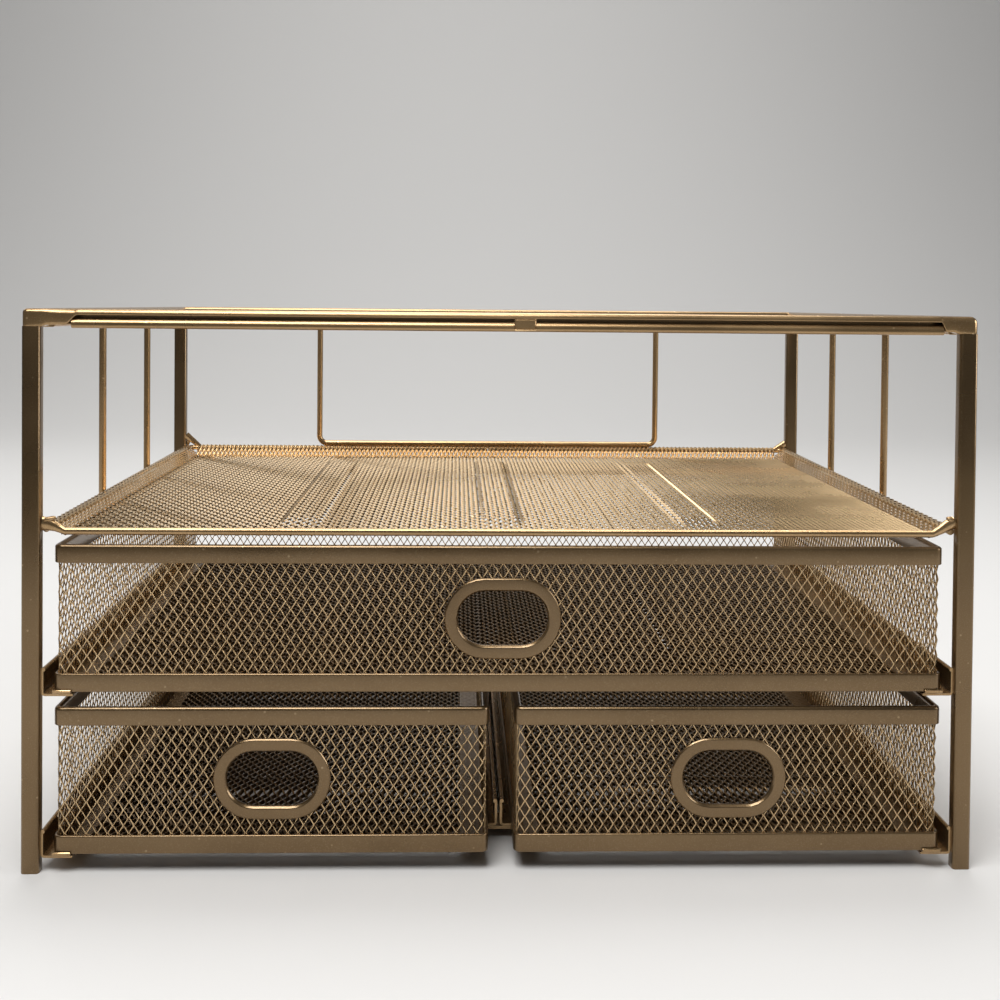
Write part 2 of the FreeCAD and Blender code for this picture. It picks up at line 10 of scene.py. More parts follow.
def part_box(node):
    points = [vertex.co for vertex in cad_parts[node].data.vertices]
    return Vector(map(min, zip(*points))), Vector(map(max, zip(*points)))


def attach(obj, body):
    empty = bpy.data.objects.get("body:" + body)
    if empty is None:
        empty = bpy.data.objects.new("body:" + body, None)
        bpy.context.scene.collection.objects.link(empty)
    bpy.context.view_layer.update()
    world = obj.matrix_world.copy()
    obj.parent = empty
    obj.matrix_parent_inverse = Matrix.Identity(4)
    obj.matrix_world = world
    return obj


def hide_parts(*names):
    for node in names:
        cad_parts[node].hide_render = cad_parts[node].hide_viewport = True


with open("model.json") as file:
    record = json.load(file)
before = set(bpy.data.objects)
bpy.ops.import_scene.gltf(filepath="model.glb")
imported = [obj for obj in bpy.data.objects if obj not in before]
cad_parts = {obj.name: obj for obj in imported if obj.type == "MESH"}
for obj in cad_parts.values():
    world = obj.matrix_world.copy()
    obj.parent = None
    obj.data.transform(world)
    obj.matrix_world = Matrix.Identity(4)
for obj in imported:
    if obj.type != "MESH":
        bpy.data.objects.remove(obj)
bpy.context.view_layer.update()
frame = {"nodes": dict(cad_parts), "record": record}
mm = 0.001
print("frame loaded,", len(frame["nodes"]), "nodes")


# camera

viewPoint = {
    "place": (-17.19, -558.97, 202.83),  # mm
    "pixels": 1000.0,                    # width of the frame that the next two are given in
    "focal": 1239.15,
    "centre": (495.6, 327.6),
    "sensor": 36.0,
    "yaw": -1.772,
    "pitch": -1.069,
    "roll": -0.523,
}


def setCamera(settings):
    turn = (Matrix.Rotation(math.radians(settings["yaw"]), 3, "Z")
            @ Matrix.Rotation(math.radians(settings["pitch"]), 3, "X")
            @ Matrix.Rotation(math.radians(settings["roll"]), 3, "Y"))
    right, forward, up = turn.col
    pixels = settings["pixels"]
    lens = bpy.data.cameras.new("camera")
    lens.sensor_width = settings["sensor"]
    lens.lens = settings["focal"] * settings["sensor"] / pixels
    lens.shift_x = (pixels / 2 - settings["centre"][0]) / pixels
    lens.shift_y = (settings["centre"][1] - pixels / 2) / pixels
    lens.clip_start = 0.01
    lens.clip_end = 50.0
    camera = bpy.data.objects.new("camera", lens)
    camera.matrix_world = (Matrix.Translation(Vector(settings["place"]) * mm)
                           @ Matrix((right, up, -forward)).transposed().to_4x4())
    bpy.context.scene.collection.objects.link(camera)
    bpy.context.scene.camera = camera


setCamera(viewPoint)


# node helpers

def setInputs(tree, node, inputs):
    # a value sets the socket, another node's output is linked to it
    for name, value in inputs.items():
        if isinstance(value, bpy.types.NodeSocket):
            tree.links.new(value, node.inputs[name])
        else:
            node.inputs[name].default_value = value


def addNode(tree, kind, inputs, **settings):
    node = tree.nodes.new(kind)
    for name, value in settings.items():
        setattr(node, name, value)
    setInputs(tree, node, inputs)
    return node


# finishes

finish = {
    "gold": (0.43, 0.28, 0.135),
    "goldDeep": (0.32, 0.20, 0.09),
    "goldPale": (0.64, 0.47, 0.27),
    "paintedShadeShare": 0.50,           # painted shade: the posts, the drawers' strips and their floors take a darker copy of the same gold
    # painted highlight: the mesh takes a paler copy of the gold, for the light that its strands catch
    "mesh": ((0.70, 0.50, 0.275), (0.58, 0.405, 0.21), (0.80, 0.62, 0.38)),
    "roughness": (0.25, 0.36),   # smallest and largest over the surface
    "cloud": 22.0,               # changes of tone per metre
    "grain": 2600.0,             # flakes per metre
    "flakeRange": (0.52, 0.80),  # part of the noise that counts as a flake
    "flakeShare": 0.55,
    "speck": 190.0,              # paint specks per metre
    "meshSpeck": 90.0,
    "speckRange": (0.10, 0.05),  # outer and inner edge of a speck, as a share of its cell
    "speckShare": 0.7,
    "bump": 0.12,
    "bumpHeight": 0.0002,        # metres
    "metallic": 0.9,
    "lacquer": 0.35,
    "lacquerRoughness": 0.14,
}


def satinPaint(name, colours, roughness, speck, bump, lacquer=finish["lacquer"], grain=finish["grain"]):
    main, deep, pale = colours
    material = bpy.data.materials.new(name)
    material.use_nodes = True
    tree = material.node_tree
    place = addNode(tree, "ShaderNodeTexCoord", {}).outputs["Object"]
    cloud = addNode(tree, "ShaderNodeTexNoise",        # slow change of tone along the strips
                    {"Vector": place, "Scale": finish["cloud"], "Detail": 3.0}).outputs["Fac"]
    tone = addNode(tree, "ShaderNodeValToRGB", {"Fac": cloud})
    for element, position, colour in zip(tone.color_ramp.elements, (0.32, 0.72), (deep, main)):
        element.position = position
        element.color = (*colour, 1)
    flakes = addNode(tree, "ShaderNodeTexNoise",       # metallic flakes in the paint
                     {"Vector": place, "Scale": grain}).outputs["Fac"]
    flakeShare = addNode(tree, "ShaderNodeMapRange", {
        "Value": flakes, "From Min": finish["flakeRange"][0], "From Max": finish["flakeRange"][1],
        "To Max": finish["flakeShare"]})
    flaked = addNode(tree, "ShaderNodeMix", {
        "Factor": flakeShare.outputs["Result"], "A": tone.outputs["Color"], "B": (*pale, 1)}, data_type="RGBA")
    specks = addNode(tree, "ShaderNodeTexVoronoi",     # dust nibs and small rubbed spots
                     {"Vector": place, "Scale": speck})
    speckShare = addNode(tree, "ShaderNodeMapRange", {
        "Value": specks.outputs["Distance"], "From Min": finish["speckRange"][0],
        "From Max": finish["speckRange"][1], "To Max": finish["speckShare"]})
    rubbed = (*[min(1.0, c * 1.25) for c in pale], 1)
    spotted = addNode(tree, "ShaderNodeMix", {
        "Factor": speckShare.outputs["Result"], "A": flaked.outputs["Result"], "B": rubbed}, data_type="RGBA")
    gloss = addNode(tree, "ShaderNodeMapRange", {
        "Value": cloud, "From Min": 0.3, "From Max": 0.7, "To Min": roughness[0], "To Max": roughness[1]})
    skin = addNode(tree, "ShaderNodeBump", {
        "Height": flakes, "Strength": bump, "Distance": finish["bumpHeight"]})
    setInputs(tree, tree.nodes["Principled BSDF"], {
        "Base Color": spotted.outputs["Result"], "Roughness": gloss.outputs["Result"],
        "Normal": skin.outputs["Normal"], "Metallic": finish["metallic"],
        "Coat Weight": lacquer, "Coat Roughness": finish["lacquerRoughness"]})
    return material


tones = (finish["gold"], finish["goldDeep"], finish["goldPale"])
# painted shade: a darkened copy of the gold tones
paintedShadeTones = [tuple(finish["paintedShadeShare"] * c for c in tone) for tone in tones]
stripPaint = satinPaint("stripPaint", tones, finish["roughness"], finish["speck"], finish["bump"])
# painted shade: darkened gold for the finger rings, the drawers' strips and the posts
paintedShadePaint = satinPaint("paintedShadePaint", paintedShadeTones, finish["roughness"], finish["speck"], finish["bump"], 0.4)
wirePaint = satinPaint("wirePaint", tones, (0.22, 0.30), finish["speck"], 0.08)
# painted highlight: paler gold for the drawers' walls and the tray's floor and edges
paintedHighlightMeshPaint = satinPaint("paintedHighlightMeshPaint", finish["mesh"], (0.22, 0.32), finish["meshSpeck"], 0.05)
# painted shade: darkened gold for the drawers' floors, standing in for the shade inside the drawers
paintedShadeFloorPaint = satinPaint("paintedShadeFloorPaint", paintedShadeTones, (0.30, 0.40), finish["meshSpeck"], 0.05, 0.0)
weldPaint = satinPaint("weldPaint", tones, (0.34, 0.5), 400.0, 0.5, grain=900.0)
print("finishes made")


# mesh tools

def bodyOf(node):
    for body, members in frame["record"]["behaviour"]["bodies"].items():
        if node in members:
            return body


def addPiece(name, mesh, nodes, material):
    mesh.materials.clear()
    mesh.materials.append(material)
    piece = bpy.data.objects.new(name, mesh)
    bpy.context.scene.collection.objects.link(piece)
    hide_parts(*nodes)
    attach(piece, bodyOf(nodes[0]))
    return piece


def addShell(name, shell, node, material, sharp=35.0):
    # a piece from points in millimetres and faces
    points, faces = shell
    addPiece(name, smoothMesh(name, metres(points), faces, sharp), [node], material)


def smoothMesh(name, points, faces, sharp=35.0):
    # edges that bend less than sharp degrees look round
    mesh = bpy.data.meshes.new(name)
    mesh.from_pydata([tuple(p) for p in points], [], faces)
    work = bmesh.new()
    work.from_mesh(mesh)
    bmesh.ops.remove_doubles(work, verts=work.verts, dist=1e-7)
    bmesh.ops.recalc_face_normals(work, faces=work.faces)
    work.to_mesh(mesh)
    work.free()
    mesh.shade_smooth()
    mesh.set_sharp_from_angle(angle=math.radians(sharp))
    return mesh


def joinParts(parts):
    points, faces = [], []
    for somePoints, someFaces in parts:
        base = len(points)
        points.extend(somePoints)
        faces.extend([tuple(base + i for i in face) for face in someFaces])
    return points, faces


def cornerAt(before, here, after):
    # the corner, unit directions to both neighbours, and half the angle between them
    here = np.array(here, float)
    before, after = np.array(before, float) - here, np.array(after, float) - here
    before, after = before / np.linalg.norm(before), after / np.linalg.norm(after)
    half = math.acos(max(-1.0, min(1.0, float(before @ after)))) / 2.0
    return here, before, after, half


def arcAt(here, before, after, half, radius):
    # centre of the rounding, and its first and last point as seen from there
    middle = (before + after) / np.linalg.norm(before + after)
    centre = here + middle * radius / math.sin(half)
    reach = radius / math.tan(half)
    return centre, here + before * reach - centre, here + after * reach - centre


def roundOff(corners, radii, steps=4):
    # closed outline with its corners rounded; every corner gives steps + 1 points
    outline = []
    count = len(corners)
    for i in range(count):
        neighbours = corners[i - 1], corners[(i + 1) % count]
        here, before, after, half = cornerAt(neighbours[0], corners[i], neighbours[1])
        if half > 1.55:      # hardly a corner
            outline.extend(tuple(here + (after if k > steps / 2 else before) * abs(k / steps - 0.5) * 0.1)
                           for k in range(steps + 1))
            continue
        share = 0.49 if radii[i] > 0 else 0.96      # a negative radius may take nearly all of its sides
        shorter = min(math.dist(here, side) for side in neighbours)
        radius = min(abs(radii[i]), share * shorter * math.tan(half))
        centre, first, last = arcAt(here, before, after, half, radius)
        swing = math.atan2(first[0] * last[1] - first[1] * last[0], float(first @ last))
        for k in range(steps + 1):
            a = swing * k / steps
            outline.append((centre[0] + first[0] * math.cos(a) - first[1] * math.sin(a),
                            centre[1] + first[0] * math.sin(a) + first[1] * math.cos(a)))
    return outline


def bendPath(corners, radius, steps=8):
    # open path with its inner corners bent
    path = [np.array(corners[0], float)]
    for i in range(1, len(corners) - 1):
        here, before, after, half = cornerAt(corners[i - 1], corners[i], corners[i + 1])
        centre, first, last = arcAt(here, before, after, half, radius)
        turn = math.pi - 2.0 * half
        for k in range(steps + 1):
            t = k / steps
            part = first * math.sin((1 - t) * turn) + last * math.sin(t * turn)
            path.append(centre + part / math.sin(turn))
    path.append(np.array(corners[-1], float))
    return path


def loft(rings, loop=False, caps=True):
    # rings of equal length, joined ring to ring
    count = len(rings[0])
    points = [tuple(p) for ring in rings for p in ring]
    faces = []
    last = len(rings) if loop else len(rings) - 1
    for r in range(last):
        a, b = r * count, ((r + 1) % len(rings)) * count
        for i in range(count):
            j = (i + 1) % count
            faces.append((a + i, a + j, b + j, b + i))
    if caps and not loop:
        faces.append(tuple(reversed(range(count))))
        faces.append(tuple(range((len(rings) - 1) * count, len(rings) * count)))
    return points, faces


def hoopLoop(box, radius, inset, level, steps=6):
    # rounded rectangle moved inwards; past the radius it keeps the inner square corner
    x0, x1, y0, y1 = box
    left = radius - inset
    ring = []
    for cx, cy, sx, sy, start in (
            (x1 - radius, y0 + radius, 1, -1, -90), (x1 - radius, y1 - radius, 1, 1, 0),
            (x0 + radius, y1 - radius, -1, 1, 90), (x0 + radius, y0 + radius, -1, -1, 180)):
        for k in range(steps + 1):
            a = math.radians(start + 90.0 * k / steps)
            if left > 0:
                ring.append((cx + left * math.cos(a), cy + left * math.sin(a), level))
            else:
                ring.append((cx + left * sx, cy + left * sy, level))
    return ring


def sweepHoop(box, radius, outline):
    # outline of (inset, level) carried round a rounded rectangle
    return loft([hoopLoop(box, radius, inset, level) for inset, level in outline], loop=True)


def ovalLoop(x, z, halfRun, radius, y, steps=14):
    ring = []
    for cx, start in ((x + halfRun, -90), (x - halfRun, 90)):
        for k in range(steps + 1):
            a = math.radians(start + 180.0 * k / steps)
            ring.append((cx + radius * math.cos(a), y, z + radius * math.sin(a)))
    return ring


def tube(path, sizes, sides=16):
    # round or flattened tube; sizes gives half width and half height at each point, width being level
    rings = []
    for i, p in enumerate(path):
        ahead = path[min(i + 1, len(path) - 1)] - path[max(i - 1, 0)]
        ahead = ahead / np.linalg.norm(ahead)
        across = np.cross(ahead, (0.0, 0.0, 1.0))
        across = across / np.linalg.norm(across)
        over = np.cross(across, ahead)
        wide, high = sizes[i]
        angles = [2 * math.pi * k / sides for k in range(sides)]
        rings.append([p + across * wide * math.cos(a) + over * high * math.sin(a) for a in angles])
    return loft(rings)


def slab(box, bevel, steps=3):
    # block with rounded upright, upper and lower edges: a stack of rounded outlines
    (x0, y0, z0), (x1, y1, z1) = box
    lower, upper = [], []
    for k in range(steps + 1):
        a = math.pi / 2 * k / steps
        inset, rise = bevel * (1 - math.sin(a)), bevel * (1 - math.cos(a))
        edge = (x0 + inset, x1 - inset, y0 + inset, y1 - inset)
        radius = bevel * math.sin(a) + 1e-5     # never quite square
        lower.append(hoopLoop(edge, radius, 0.0, z0 + rise, steps=4))
        upper.append(hoopLoop(edge, radius, 0.0, z1 - rise, steps=4))
    return loft(lower + upper[::-1])


def inMillimetres(node):
    low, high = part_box(node)
    return np.array(low) / mm, np.array(high) / mm


def metres(points):
    return np.array(points, float) * mm


# geometry node trees

def newTree(name, inputs):
    tree = bpy.data.node_groups.new(name, "GeometryNodeTree")
    tree.interface.new_socket(name="Geometry", in_out="INPUT", socket_type="NodeSocketGeometry")
    for label, kind in inputs:
        tree.interface.new_socket(name=label, in_out="INPUT", socket_type="NodeSocket" + kind)
    tree.interface.new_socket(name="Geometry", in_out="OUTPUT", socket_type="NodeSocketGeometry")
    return tree, tree.nodes.new("NodeGroupInput").outputs


def endTree(tree, shape, material):
    real = addNode(tree, "GeometryNodeRealizeInstances", {"Geometry": shape})
    paint = addNode(tree, "GeometryNodeSetMaterial", {
        "Geometry": real.outputs["Geometry"], "Material": material})
    addNode(tree, "NodeGroupOutput", {"Geometry": paint.outputs["Geometry"]})
    return tree


def bakeTree(name, mesh, tree, values):
    # runs a tree on a mesh and returns the plain mesh that it makes
    holder = bpy.data.objects.new(name, mesh)
    bpy.context.scene.collection.objects.link(holder)
    modifier = holder.modifiers.new("build", "NODES")
    modifier.node_group = tree
    for item in tree.interface.items_tree:
        if item.item_type == "SOCKET" and item.in_out == "INPUT" and item.name in values:
            modifier[item.identifier] = values[item.name]
    graph = bpy.context.evaluated_depsgraph_get()
    made = bpy.data.meshes.new_from_object(holder.evaluated_get(graph), depsgraph=graph)
    bpy.data.objects.remove(holder)
    made.name = name
    return made


def expandedSheetTree():
    # the cell on every point of a grid, less the strands inside an oval
    tree, values = newTree("expandedSheet", (
        ("Columns", "Int"), ("Rows", "Int"), ("Cell Width", "Float"), ("Cell Height", "Float"),
        ("Hole Height", "Float"), ("Hole Half Run", "Float"), ("Hole Radius", "Float"),
        ("Material", "Material")))

    def calculate(operation, *terms):
        return addNode(tree, "ShaderNodeMath", dict(enumerate(terms)), operation=operation).outputs[0]

    grid = addNode(tree, "GeometryNodeMeshGrid", {
        "Size X": calculate("MULTIPLY", calculate("SUBTRACT", values["Columns"], 1.0), values["Cell Width"]),
        "Size Y": calculate("MULTIPLY", calculate("SUBTRACT", values["Rows"], 1.0), values["Cell Height"]),
        "Vertices X": values["Columns"], "Vertices Y": values["Rows"]})
    spread = addNode(tree, "GeometryNodeInstanceOnPoints", {
        "Points": grid.outputs["Mesh"], "Instance": values["Geometry"]})
    real = addNode(tree, "GeometryNodeRealizeInstances", {"Geometry": spread.outputs["Instances"]})
    where = addNode(tree, "GeometryNodeInputPosition", {})
    split = addNode(tree, "ShaderNodeSeparateXYZ", {"Vector": where.outputs["Position"]})
    past = calculate("SUBTRACT", calculate("ABSOLUTE", split.outputs["X"]), values["Hole Half Run"])
    past = calculate("MAXIMUM", past, 0.0)
    rise = calculate("SUBTRACT", split.outputs["Y"], values["Hole Height"])
    square = calculate("ADD", calculate("MULTIPLY", past, past), calculate("MULTIPLY", rise, rise))
    inside = calculate("LESS_THAN", calculate("SQRT", square), values["Hole Radius"])
    cut = addNode(tree, "GeometryNodeDeleteGeometry", {
        "Geometry": real.outputs["Geometry"], "Selection": inside}, domain="FACE")
    return endTree(tree, cut.outputs["Geometry"], values["Material"])


def bentWireTree():
    # a round wire along a line of straight edges, bent at its corners
    tree, values = newTree("bentWire", (
        ("Wire Radius", "Float"), ("Bend Radius", "Float"), ("Bend Steps", "Int"), ("Sides", "Int"),
        ("Material", "Material")))
    line = addNode(tree, "GeometryNodeMeshToCurve", {"Mesh": values["Geometry"]})
    bend = addNode(tree, "GeometryNodeFilletCurve", {
        "Curve": line.outputs["Curve"], "Radius": values["Bend Radius"],
        "Count": values["Bend Steps"]}, mode="POLY")
    ring = addNode(tree, "GeometryNodeCurvePrimitiveCircle", {
        "Resolution": values["Sides"], "Radius": values["Wire Radius"]})
    skin = addNode(tree, "GeometryNodeCurveToMesh", {
        "Curve": bend.outputs["Curve"], "Profile Curve": ring.outputs["Curve"], "Fill Caps": True})
    return endTree(tree, skin.outputs["Mesh"], values["Material"])


sheetTree = expandedSheetTree()
wireTree = bentWireTree()
print("node trees made")


# expanded metal: each cell is a crossing of four tilted strands

wallMesh = {
    "pitch": (3.78, 5.57),
    "strand": 0.42,    # width of a strand
    "sheet": 0.38,     # its thickness
    "tilt": -34.0,     # degrees out of the panel
    "bond": 0.3,       # length of the joint between strands
    "sharp": 120.0,    # edges flatter than this look round
}
# the drawers' floors, the tray's floor, and its turned-up edges, drawn tighter by the folding
floorMesh = {"pitch": (3.79, 5.70), "strand": 0.66, "sheet": 1.4, "tilt": 14.0, "bond": 0.0, "sharp": 30.0}
trayMesh = {"pitch": (3.79, 5.70), "strand": 0.78, "sheet": 0.44, "tilt": 40.0, "bond": 0.0, "sharp": 30.0}
lipMesh = {"pitch": (2.2, 4.6), "strand": 0.90, "sheet": 0.55, "tilt": -46.0, "bond": 0.3, "sharp": 30.0}


def strandCell(name, width, height, mesh):
    tilt = math.radians(mesh["tilt"])
    along = np.array((math.cos(tilt), 0.0, math.sin(tilt))) * mesh["strand"] / 2.0
    through = np.array((-math.sin(tilt), 0.0, math.cos(tilt))) * mesh["sheet"] / 2.0
    parts = []
    for sideX in (-1, 1):
        for sideY in (-1, 1):
            inner = sideX * along
            outer = np.array((sideX * width / 2.0, 0, 0)) - sideX * along
            stops = [(inner, 0.0), (outer, height / 2.0)]
            if mesh["bond"]:
                stops[1:1] = [(inner, mesh["bond"] / 2.0), (outer, height / 2.0 - mesh["bond"] / 2.0)]
            rings = []
            for centre, rise in stops:
                middle = centre + np.array((0, sideY * rise, 0))
                rings.append([middle + along * a + through * b
                              for a, b in ((-1, -1), (1, -1), (1, 1), (-1, 1))])
            parts.append(loft(rings, caps=False))
    points, faces = joinParts(parts)
    return smoothMesh(name, points, faces, mesh["sharp"])


def expandedSheet(name, length, span, mesh, hole=(0.0, 0.0, 0.0)):
    # flat sheet centred on the origin, in millimetres: length along X, span along Y
    columns = round(length / mesh["pitch"][0])
    rows = round(span / mesh["pitch"][1])
    width, height = length / columns, span / rows
    cell = strandCell(name + "Cell", width, height, mesh)
    return bakeTree(name, cell, sheetTree, {
        "Columns": columns, "Rows": rows, "Cell Width": width, "Cell Height": height,
        "Hole Height": hole[0], "Hole Half Run": hole[1], "Hole Radius": hole[2], "Material": paintedHighlightMeshPaint})


def coordinates(mesh):
    flat = np.empty(len(mesh.vertices) * 3)
    mesh.vertices.foreach_get("co", flat)
    return flat.reshape(-1, 3)


def setCoordinates(mesh, points, mirrored=False):
    mesh.vertices.foreach_set("co", (np.asarray(points) * mm).reshape(-1))
    if mirrored:
        mesh.flip_normals()
    mesh.update()
    return mesh


def wrapEnds(flat, run, radius):
    # flat sheet points to (along, outward, up); past half the run the sheet turns round a corner
    u, v, n = flat[:, 0], flat[:, 1], flat[:, 2]
    over = np.maximum(np.abs(u) - run / 2.0, 0.0) * np.sign(u)
    angle = over / radius
    reach = radius + n
    along = np.clip(u, -run / 2.0, run / 2.0) + reach * np.sin(angle)
    outward = reach * np.cos(angle) - radius
    return along, outward, v


# pressed beads that stiffen the floors

beadShape = {
    "width": 16.5,
    "height": 1.0,
    "slope": 2.2,         # width of a bead's slanted side
    "endSlope": 20.0,     # length over which its ends run out
    "pitch": 75.5,        # of the three long beads
    "crossOffset": 60.0,  # of the two cross beads from the middle of a half-width drawer
    "drawerEnd": 15.0,    # floor left flat before and behind a bead
    "trayEnd": 17.0,
}


def raised(distance, halfWidth, slope):
    # 1 over a pressed bead, 0 outside, with a soft slanted side
    t = np.clip((halfWidth - np.abs(distance)) / slope, 0.0, 1.0)
    return t * t * (3 - 2 * t)


def beadRise(x, y, beads):
    rise = np.zeros(len(x))
    for cx, cy, halfX, halfY in beads:
        slopes = (beadShape["slope"], beadShape["endSlope"])[::1 if halfX < halfY else -1]
        one = raised(x - cx, halfX, slopes[0]) * raised(y - cy, halfY, slopes[1])
        rise = np.maximum(rise, one * beadShape["height"])
    return rise


def longBeads(middle, reach):
    return [(side * beadShape["pitch"], middle, beadShape["width"] / 2.0, reach) for side in (-1, 0, 1)]


def crossBeads(reach):
    return [(0.0, end * beadShape["crossOffset"], reach, beadShape["width"] / 2.0) for end in (-1, 1)]


# drawers

drawerShape = {
    "corner": 3.0,      # plan radius of the strips
    "meshLine": 1.3,    # middle of the mesh behind the outer face
    "meshTop": 0.85,    # the mesh ends this far under the upper edge
    "floor": 0.72,      # middle of the floor's sheet above the underside
    "stripFace": 6.5,
    "stripSheet": 0.8,
    "stripGap": 1.0,    # room for the mesh inside the upper strip
    "stripFold": 1.2,   # rounding of its folded edge
    "stripEdge": 0.3,   # and of its cut edges
    "hem": 1.15,        # thickness of the lower strip's upper edge
    "flange": 10.0,
    "flangeLow": 0.6,   # the flange's underside and top above the drawer's underside
    "flangeTop": 1.4,
}
ringShape = {
    "face": 4.7,
    "sheet": 0.9,
    "sleeve": 0.8,              # wall of the sleeve through the mesh
    "innerSlant": (0.7, 0.85),  # width and depth of the slant into the hole
    "outerSlant": (0.45, 0.5),
    "seat": 1.9,                # the mesh is cut away this far beyond the hole
}
glideShape = {
    "sheet": 0.6,
    "noseBend": 0.75,
    "noseTip": (0.3, 0.25),     # slant at the turned-up end
    "innerBend": (0.25, 0.2),
    "toe": 0.2,                 # slant under a flat front end
    "edge": 0.15,
}


def fingerRing(name, label, shape):
    # gives the level, half run and radius of its plain oval seat
    low, high = inMillimetres(name + "_finger_ring")
    middleX, middleZ = (low[0] + high[0]) / 2.0, (low[2] + high[2]) / 2.0
    halfRun = (high[0] - low[0] - high[2] + low[2]) / 2.0
    front, back = low[1], high[1]
    face, sleeve, seat = shape["face"], shape["sleeve"], front + shape["sheet"]
    radius = (high[2] - low[2]) / 2.0 - face
    outline = roundOff([(0.0, front + shape["innerSlant"][1]), (shape["innerSlant"][0], front),
                        (face - shape["outerSlant"][0], front), (face, front + shape["outerSlant"][1]),
                        (face, seat), (sleeve, seat), (sleeve, back), (0.0, back)],
                       [0.6, 0.6, 0.4, 0.2, 0.1, 0.1, 0.3, 0.3])
    rings = [ovalLoop(middleX, middleZ, halfRun, radius + margin, y) for margin, y in outline]
    addShell(label + "FingerRing", loft(rings, loop=True), name + "_finger_ring", paintedShadePaint)
    return middleZ, halfRun, radius + shape["seat"]


def addWall(name, place, sheet, points):
    addPiece(sheet.name, setCoordinates(sheet, np.column_stack(points)),
             [name + "_" + place + "_mesh"], paintedHighlightMeshPaint)


def drawerWalls(name, label, box, base, top, ring, shape):
    # front and back go round the corners, the sides stand between them
    x0, x1, y0, y1 = box
    middleX, middleY, middleZ = (x0 + x1) / 2.0, (y0 + y1) / 2.0, (base + top) / 2.0
    radius = shape["corner"] - shape["meshLine"]
    height, run, depth = top - base, x1 - x0 - 2 * shape["corner"], y1 - y0 - 2 * shape["corner"]
    ringLevel, ringHalfRun, seatRadius = ring
    for place, sign, face, hole in (
            ("front", -1, y0 + shape["meshLine"], (ringLevel - middleZ, ringHalfRun, seatRadius)),
            ("back", 1, y1 - shape["meshLine"], (0.0, 0.0, 0.0))):
        sheet = expandedSheet(label + place.title() + "Mesh", run + math.pi * radius, height, wallMesh, hole)
        along, outward, up = wrapEnds(coordinates(sheet), run, radius)
        addWall(name, place, sheet, (middleX - sign * along, face + sign * outward, middleZ + up))
    for place, sign, face in (("left", -1, x0 + shape["meshLine"]), ("right", 1, x1 - shape["meshLine"])):
        sheet = expandedSheet(label + place.title() + "Mesh", depth, height, wallMesh)
        u, v, n = coordinates(sheet).T
        addWall(name, place, sheet, (face + sign * n, middleY + sign * u, middleZ + v))


def drawerFloor(name, label, box, base, cross, shape):
    x0, x1, y0, y1 = box
    low, high = inMillimetres(name + "_floor_mesh")
    size = high - low
    sheet = expandedSheet(label + "FloorMesh", size[0], size[1], floorMesh)
    u, v, n = coordinates(sheet).T
    if cross:
        beads = crossBeads((x1 - x0) / 2.0 - beadShape["drawerEnd"])
    else:
        beads = longBeads(0.0, (y1 - y0) / 2.0 - beadShape["drawerEnd"])
    level = base + shape["floor"] + beadRise(u, v, beads) + n
    setCoordinates(sheet, np.column_stack(((x0 + x1) / 2.0 + u, (y0 + y1) / 2.0 + v, level)))
    addPiece(label + "FloorMesh", sheet, [name + "_floor_mesh"], paintedShadeFloorPaint)


def drawerStrips(name, label, box, base, top, shape):
    face, sheet, edge, hem = shape["stripFace"], shape["stripSheet"], shape["stripEdge"], shape["hem"]
    thick = 2 * sheet + shape["stripGap"]
    outline = roundOff([(0, top - face), (0, top), (thick, top), (thick, top - face),
                        (thick - sheet, top - face), (thick - sheet, top - sheet),
                        (sheet, top - sheet), (sheet, top - face)],
                       [edge, shape["stripFold"], shape["stripFold"]] + [edge] * 5)
    addShell(label + "TopStrip", sweepHoop(box, shape["corner"], outline), name + "_top_rim", paintedShadePaint)
    flange, low, high = shape["flange"], base + shape["flangeLow"], base + shape["flangeTop"]
    outline = roundOff([(0, base), (0, base + face), (hem, base + face), (hem, high),
                        (flange, high), (flange, low), (sheet, low), (sheet, base)],
                       [0.45, 0.55, 0.5, 0.3, 0.2, 0.2, 0.1, 0.2])
    addShell(label + "BottomStrip", sweepHoop(box, shape["corner"], outline), name + "_bottom_rim", paintedShadePaint)


def glideStrip(name, label, side, shape):
    node = name + "_" + side + "_glide"
    (x0, front, base), (x1, back, top) = inMillimetres(node)
    sheet, bend, edge = shape["sheet"], shape["noseBend"], shape["edge"]
    if top - base > 1.5 * sheet:      # nose turned up before the strip
        line = [(front + sheet, top), (front + shape["noseTip"][0], top), (front, top - shape["noseTip"][1])]
        line += [(front + bend - bend * math.cos(a), base + bend - bend * math.sin(a))
                 for a in np.linspace(0, math.pi / 2, 7)]
        line += [(back, base), (back, base + sheet), (front + sheet + shape["innerBend"][0], base + sheet),
                 (front + sheet, base + sheet + shape["innerBend"][1])]
    else:
        line = [(front, base + shape["toe"]), (front + shape["toe"], base),
                (back, base), (back, top), (front, top)]
    rings = []
    for x, inset in ((x0, edge), (x0 + edge, 0.0), (x1 - edge, 0.0), (x1, edge)):
        rings.append([(x, y + (inset if y < front + 2 * edge else 0.0), z) for y, z in line])
    addShell(label + side.title() + "Glide", loft(rings), node, wirePaint)


for name, label, cross in (("wide_drawer", "wideDrawer", False), ("left_drawer", "leftDrawer", True),
                           ("right_drawer", "rightDrawer", True)):
    low, high = inMillimetres(name + "_top_rim")
    box = (low[0], high[0], low[1], high[1])
    base, top = inMillimetres(name + "_bottom_rim")[0][2], high[2]
    ring = fingerRing(name, label, ringShape)
    drawerWalls(name, label, box, base + drawerShape["flangeTop"], top - drawerShape["meshTop"],
                ring, drawerShape)
    drawerFloor(name, label, box, base, cross, drawerShape)
    drawerStrips(name, label, box, base, top, drawerShape)
    glideStrip(name, label, "left", glideShape)
    glideStrip(name, label, "right", glideShape)
    print("made", label)


# letter tray

